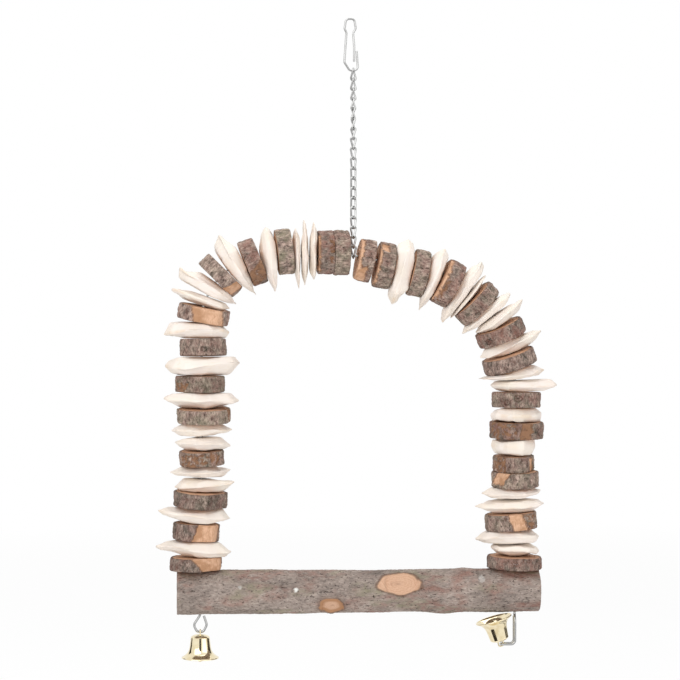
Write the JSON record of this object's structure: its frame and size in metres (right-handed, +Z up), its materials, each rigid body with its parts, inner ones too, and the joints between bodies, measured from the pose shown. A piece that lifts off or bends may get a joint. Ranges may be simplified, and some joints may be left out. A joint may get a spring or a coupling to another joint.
{
  "type": "bird swing",
  "caption": "Hanging bird swing: spring clip, twisted chain, wire arch threaded with bark discs and pale chips, natural branch perch and two brass bells.",
  "frame": {"origin": "inside of the clip's top bend, where a cage bar sits", "axes": "+X along the perch towards the right-hand bell of the picture, +Y to the back, +Z up"},
  "size_m": [0.2451, 0.0341, 0.3907],
  "materials": {
    "nickel_steel": "nickel-plated wire, satin bright",
    "perch_bark": "dry branch with its grey-brown bark on, knots cut flush",
    "disc_bark": "sawn branch slices with furrowed bark, orange where it is cut away",
    "pale_wood": "raw peeled soft wood, pale cream",
    "brass": "polished, pale gold"
  },
  "bodies": {
    "clip": {"clip_wire": "nickel_steel"},
    "clip_gate": {"clip_gate": "nickel_steel"},
    "chain_link_01": {"chain_link_01": "nickel_steel"},
    "chain_link_02": {"chain_link_02": "nickel_steel"},
    "chain_link_03": {"chain_link_03": "nickel_steel"},
    "chain_link_04": {"chain_link_04": "nickel_steel"},
    "chain_link_05": {"chain_link_05": "nickel_steel"},
    "chain_link_06": {"chain_link_06": "nickel_steel"},
    "chain_link_07": {"chain_link_07": "nickel_steel"},
    "chain_link_08": {"chain_link_08": "nickel_steel"},
    "chain_link_09": {"chain_link_09": "nickel_steel"},
    "chain_link_10": {"chain_link_10": "nickel_steel"},
    "chain_link_11": {"chain_link_11": "nickel_steel"},
    "chain_link_12": {"chain_link_12": "nickel_steel"},
    "chain_link_13": {"chain_link_13": "nickel_steel"},
    "chain_link_14": {"chain_link_14": "nickel_steel"},
    "chain_link_15": {"chain_link_15": "nickel_steel"},
    "chain_link_16": {"chain_link_16": "nickel_steel"},
    "chain_link_17": {"chain_link_17": "nickel_steel"},
    "chain_link_18": {"chain_link_18": "nickel_steel"},
    "chain_link_19": {"chain_link_19": "nickel_steel"},
    "arch": {"arch_wire": "nickel_steel", "perch": "perch_bark", "pale_chips_left_leg": "pale_wood", "pale_chips_left_shoulder": "pale_wood", "pale_chips_right_shoulder": "pale_wood", "pale_chips_right_leg": "pale_wood"},
    "bark_disc_left_01": {"bark_disc_left_01": "disc_bark"},
    "bark_disc_left_02": {"bark_disc_left_02": "disc_bark"},
    "bark_disc_left_03": {"bark_disc_left_03": "disc_bark"},
    "bark_disc_left_04": {"bark_disc_left_04": "disc_bark"},
    "bark_disc_left_05": {"bark_disc_left_05": "disc_bark"},
    "bark_disc_left_06": {"bark_disc_left_06": "disc_bark"},
    "bark_disc_left_07": {"bark_disc_left_07": "disc_bark"},
    "bark_disc_left_08": {"bark_disc_left_08": "disc_bark"},
    "bark_disc_left_09": {"bark_disc_left_09": "disc_bark"},
    "bark_disc_left_10": {"bark_disc_left_10": "disc_bark"},
    "bark_disc_left_11": {"bark_disc_left_11": "disc_bark"},
    "bark_disc_left_12": {"bark_disc_left_12": "disc_bark"},
    "bark_disc_left_13": {"bark_disc_left_13": "disc_bark"},
    "bark_disc_right_01": {"bark_disc_right_01": "disc_bark"},
    "bark_disc_right_02": {"bark_disc_right_02": "disc_bark"},
    "bark_disc_right_03": {"bark_disc_right_03": "disc_bark"},
    "bark_disc_right_04": {"bark_disc_right_04": "disc_bark"},
    "bark_disc_right_05": {"bark_disc_right_05": "disc_bark"},
    "bark_disc_right_06": {"bark_disc_right_06": "disc_bark"},
    "bark_disc_right_07": {"bark_disc_right_07": "disc_bark"},
    "bark_disc_right_08": {"bark_disc_right_08": "disc_bark"},
    "bark_disc_right_09": {"bark_disc_right_09": "disc_bark"},
    "bark_disc_right_10": {"bark_disc_right_10": "disc_bark"},
    "bark_disc_right_11": {"bark_disc_right_11": "disc_bark"},
    "bark_disc_right_12": {"bark_disc_right_12": "disc_bark"},
    "bark_disc_right_13": {"bark_disc_right_13": "disc_bark"},
    "left_bell": {"left_bell_cup": "brass", "left_bell_staple": "brass"},
    "left_clapper": {"left_bell_clapper": "brass"},
    "right_bell": {"right_bell_cup": "brass", "right_bell_staple": "brass"},
    "right_clapper": {"right_bell_clapper": "brass"}
  },
  "joints": [
    {"name": "clip_gate_spring", "type": "hinge", "parent": "clip", "child": "clip_gate", "pos_m": [0.0018, 0, -0.00798], "axis": [0, 1, 0], "range_deg": [0, 13], "stiffness_Nm_per_rad": 0.01},
    {"name": "clip_to_link_01", "type": "hinge", "parent": "clip", "child": "chain_link_01", "pos_m": [0.00191, 0, -0.03075], "axis": [1, 0, 0], "range_deg": [-60, 60]},
    {"name": "link_01_to_02", "type": "hinge", "parent": "chain_link_01", "child": "chain_link_02", "pos_m": [0.00191, 0, -0.0367], "axis": [1, 0, 0], "range_deg": [-10, 10]},
    {"name": "link_02_to_03", "type": "hinge", "parent": "chain_link_02", "child": "chain_link_03", "pos_m": [0.00191, 0, -0.04135], "axis": [-0.1736, 0.9848, 0], "range_deg": [-10, 10]},
    {"name": "link_03_to_04", "type": "hinge", "parent": "chain_link_03", "child": "chain_link_04", "pos_m": [0.00191, 0, -0.0487], "axis": [0.9848, 0.1736, 0], "range_deg": [-10, 10]},
    {"name": "link_04_to_05", "type": "hinge", "parent": "chain_link_04", "child": "chain_link_05", "pos_m": [0.00191, 0, -0.05335], "axis": [-0.5736, 0.8192, 0], "range_deg": [-10, 10]},
    {"name": "link_05_to_06", "type": "hinge", "parent": "chain_link_05", "child": "chain_link_06", "pos_m": [0.00191, 0, -0.0607], "axis": [0.8192, 0.5736, 0], "range_deg": [-10, 10]},
    {"name": "link_06_to_07", "type": "hinge", "parent": "chain_link_06", "child": "chain_link_07", "pos_m": [0.00191, 0, -0.06535], "axis": [-0.9239, 0.3827, 0], "range_deg": [-10, 10]},
    {"name": "link_07_to_08", "type": "hinge", "parent": "chain_link_07", "child": "chain_link_08", "pos_m": [0.00191, 0, -0.0727], "axis": [0.3827, 0.9239, 0], "range_deg": [-10, 10]},
    {"name": "link_08_to_09", "type": "hinge", "parent": "chain_link_08", "child": "chain_link_09", "pos_m": [0.00191, 0, -0.07735], "axis": [-0.9848, -0.1736, 0], "range_deg": [-10, 10]},
    {"name": "link_09_to_10", "type": "hinge", "parent": "chain_link_09", "child": "chain_link_10", "pos_m": [0.00191, 0, -0.0847], "axis": [-0.1736, 0.9848, 0], "range_deg": [-10, 10]},
    {"name": "link_10_to_11", "type": "hinge", "parent": "chain_link_10", "child": "chain_link_11", "pos_m": [0.00191, 0, -0.08935], "axis": [-0.8192, -0.5736, 0], "range_deg": [-10, 10]},
    {"name": "link_11_to_12", "type": "hinge", "parent": "chain_link_11", "child": "chain_link_12", "pos_m": [0.00191, 0, -0.0967], "axis": [-0.5736, 0.8192, 0], "range_deg": [-10, 10]},
    {"name": "link_12_to_13", "type": "hinge", "parent": "chain_link_12", "child": "chain_link_13", "pos_m": [0.00191, 0, -0.10135], "axis": [-0.7071, -0.7071, 0], "range_deg": [-10, 10]},
    {"name": "link_13_to_14", "type": "hinge", "parent": "chain_link_13", "child": "chain_link_14", "pos_m": [0.00191, 0, -0.1087], "axis": [-0.7071, 0.7071, 0], "range_deg": [-10, 10]},
    {"name": "link_14_to_15", "type": "hinge", "parent": "chain_link_14", "child": "chain_link_15", "pos_m": [0.00191, 0, -0.11335], "axis": [-0.7883, -0.6152, 0], "range_deg": [-10, 10]},
    {"name": "link_15_to_16", "type": "hinge", "parent": "chain_link_15", "child": "chain_link_16", "pos_m": [0.00191, 0, -0.1207], "axis": [-0.6152, 0.7883, 0], "range_deg": [-10, 10]},
    {"name": "link_16_to_17", "type": "hinge", "parent": "chain_link_16", "child": "chain_link_17", "pos_m": [0.00191, 0, -0.12535], "axis": [-0.9925, -0.1224, 0], "range_deg": [-10, 10]},
    {"name": "link_17_to_18", "type": "hinge", "parent": "chain_link_17", "child": "chain_link_18", "pos_m": [0.00191, 0, -0.13135], "axis": [-1, 0, 0], "range_deg": [-10, 10]},
    {"name": "link_18_to_19", "type": "hinge", "parent": "chain_link_18", "child": "chain_link_19", "pos_m": [0.00191, 0, -0.13735], "axis": [-1, 0, 0], "range_deg": [-10, 10]},
    {"name": "link_19_to_arch", "type": "hinge", "parent": "chain_link_19", "child": "arch", "pos_m": [0.00191, 0, -0.1432], "axis": [1, 0, 0], "range_deg": [-45, 45]},
    {"name": "spin_bark_disc_left_01", "type": "hinge", "parent": "arch", "child": "bark_disc_left_01", "pos_m": [-0.09102, 0, -0.32961], "axis": [-0.0062, 0, 1], "continuous": true},
    {"name": "spin_bark_disc_left_02", "type": "hinge", "parent": "arch", "child": "bark_disc_left_02", "pos_m": [-0.0909, 0, -0.31056], "axis": [0.0488, -0.0183, 0.9986], "continuous": true},
    {"name": "spin_bark_disc_left_03", "type": "hinge", "parent": "arch", "child": "bark_disc_left_03", "pos_m": [-0.09078, 0, -0.2909], "axis": [0.0487, -0.0549, 0.9973], "continuous": true},
    {"name": "spin_bark_disc_left_04", "type": "hinge", "parent": "arch", "child": "bark_disc_left_04", "pos_m": [-0.09063, 0, -0.26565], "axis": [-0.0366, -0.0853, 0.9957], "continuous": true},
    {"name": "spin_bark_disc_left_05", "type": "hinge", "parent": "arch", "child": "bark_disc_left_05", "pos_m": [-0.09048, 0, -0.24009], "axis": [-0.0183, -0.0854, 0.9962], "continuous": true},
    {"name": "spin_bark_disc_left_06", "type": "hinge", "parent": "arch", "child": "bark_disc_left_06", "pos_m": [-0.09036, 0, -0.22104], "axis": [0.0061, -0.0183, 0.9998], "continuous": true},
    {"name": "spin_bark_disc_left_07", "type": "hinge", "parent": "arch", "child": "bark_disc_left_07", "pos_m": [-0.09023, 0, -0.19897], "axis": [-0.0123, 0.0366, 0.9993], "continuous": true},
    {"name": "spin_bark_disc_left_08", "type": "hinge", "parent": "arch", "child": "bark_disc_left_08", "pos_m": [-0.08982, 0, -0.17872], "axis": [0.1837, -0.0853, 0.9793], "continuous": true},
    {"name": "spin_bark_disc_left_09", "type": "hinge", "parent": "arch", "child": "bark_disc_left_09", "pos_m": [-0.07855, 0, -0.15546], "axis": [0.7018, -0.0366, 0.7114], "continuous": true},
    {"name": "spin_bark_disc_left_10", "type": "hinge", "parent": "arch", "child": "bark_disc_left_10", "pos_m": [-0.06019, 0, -0.14482], "axis": [0.9285, 0, 0.3713], "continuous": true},
    {"name": "spin_bark_disc_left_11", "type": "hinge", "parent": "arch", "child": "bark_disc_left_11", "pos_m": [-0.03989, 0, -0.14341], "axis": [0.9916, 0.0364, 0.1237], "continuous": true},
    {"name": "spin_bark_disc_left_12", "type": "hinge", "parent": "arch", "child": "bark_disc_left_12", "pos_m": [-0.01518, 0, -0.14321], "axis": [0.9988, 0.0488, 0.0081], "continuous": true},
    {"name": "spin_bark_disc_left_13", "type": "hinge", "parent": "arch", "child": "bark_disc_left_13", "pos_m": [-0.0056, 0, -0.14313], "axis": [0.9988, 0.0488, 0.0081], "continuous": true},
    {"name": "spin_bark_disc_right_01", "type": "hinge", "parent": "arch", "child": "bark_disc_right_01", "pos_m": [0.00926, 0, -0.14455], "axis": [0.9792, 0.0488, -0.1968], "continuous": true},
    {"name": "spin_bark_disc_right_02", "type": "hinge", "parent": "arch", "child": "bark_disc_right_02", "pos_m": [0.02116, 0, -0.14694], "axis": [0.9792, 0.0488, -0.1968], "continuous": true},
    {"name": "spin_bark_disc_right_03", "type": "hinge", "parent": "arch", "child": "bark_disc_right_03", "pos_m": [0.04231, 0, -0.15123], "axis": [0.9729, 0.0366, -0.2282], "continuous": true},
    {"name": "spin_bark_disc_right_04", "type": "hinge", "parent": "arch", "child": "bark_disc_right_04", "pos_m": [0.06035, 0, -0.15797], "axis": [0.8814, 0.0854, -0.4646], "continuous": true},
    {"name": "spin_bark_disc_right_05", "type": "hinge", "parent": "arch", "child": "bark_disc_right_05", "pos_m": [0.0783, 0, -0.17113], "axis": [0.7086, 0.0854, -0.7004], "continuous": true},
    {"name": "spin_bark_disc_right_06", "type": "hinge", "parent": "arch", "child": "bark_disc_right_06", "pos_m": [0.09223, 0, -0.18999], "axis": [0.4053, 0.1035, -0.9083], "continuous": true},
    {"name": "spin_bark_disc_right_07", "type": "hinge", "parent": "arch", "child": "bark_disc_right_07", "pos_m": [0.09862, 0, -0.20692], "axis": [0.3082, 0.0973, -0.9463], "continuous": true},
    {"name": "spin_bark_disc_right_08", "type": "hinge", "parent": "arch", "child": "bark_disc_right_08", "pos_m": [0.10081, 0, -0.23089], "axis": [-0.0034, 0, -1], "continuous": true},
    {"name": "spin_bark_disc_right_09", "type": "hinge", "parent": "arch", "child": "bark_disc_right_09", "pos_m": [0.10074, 0, -0.2493], "axis": [-0.0034, 0.0488, -0.9988], "continuous": true},
    {"name": "spin_bark_disc_right_10", "type": "hinge", "parent": "arch", "child": "bark_disc_right_10", "pos_m": [0.10067, 0, -0.26967], "axis": [0.021, 0.0671, -0.9975], "continuous": true},
    {"name": "spin_bark_disc_right_11", "type": "hinge", "parent": "arch", "child": "bark_disc_right_11", "pos_m": [0.10064, 0, -0.27918], "axis": [0.021, 0.0671, -0.9975], "continuous": true},
    {"name": "spin_bark_disc_right_12", "type": "hinge", "parent": "arch", "child": "bark_disc_right_12", "pos_m": [0.10056, 0, -0.30453], "axis": [0.082, 0.0365, -0.996], "continuous": true},
    {"name": "spin_bark_disc_right_13", "type": "hinge", "parent": "arch", "child": "bark_disc_right_13", "pos_m": [0.10047, 0, -0.32983], "axis": [-0.0217, 0.0183, -0.9996], "continuous": true},
    {"name": "left_bell_swing", "type": "hinge", "parent": "arch", "child": "left_bell", "pos_m": [-0.09104, 0, -0.3712], "axis": [1, 0, 0], "range_deg": [-60, 60]},
    {"name": "left_clapper_swing", "type": "hinge", "parent": "left_bell", "child": "left_clapper", "pos_m": [-0.09104, 0, -0.37468], "axis": [0, 1, 0], "range_deg": [-29, 29]},
    {"name": "right_bell_swing", "type": "hinge", "parent": "arch", "child": "right_bell", "pos_m": [0.09218, 0, -0.37977], "axis": [0, -1, 0], "range_deg": [0, 172]},
    {"name": "right_clapper_swing", "type": "hinge", "parent": "right_bell", "child": "right_clapper", "pos_m": [0.09119, 0, -0.37643], "axis": [0.9588, 0, 0.284], "range_deg": [-58, 0]}
  ]
}
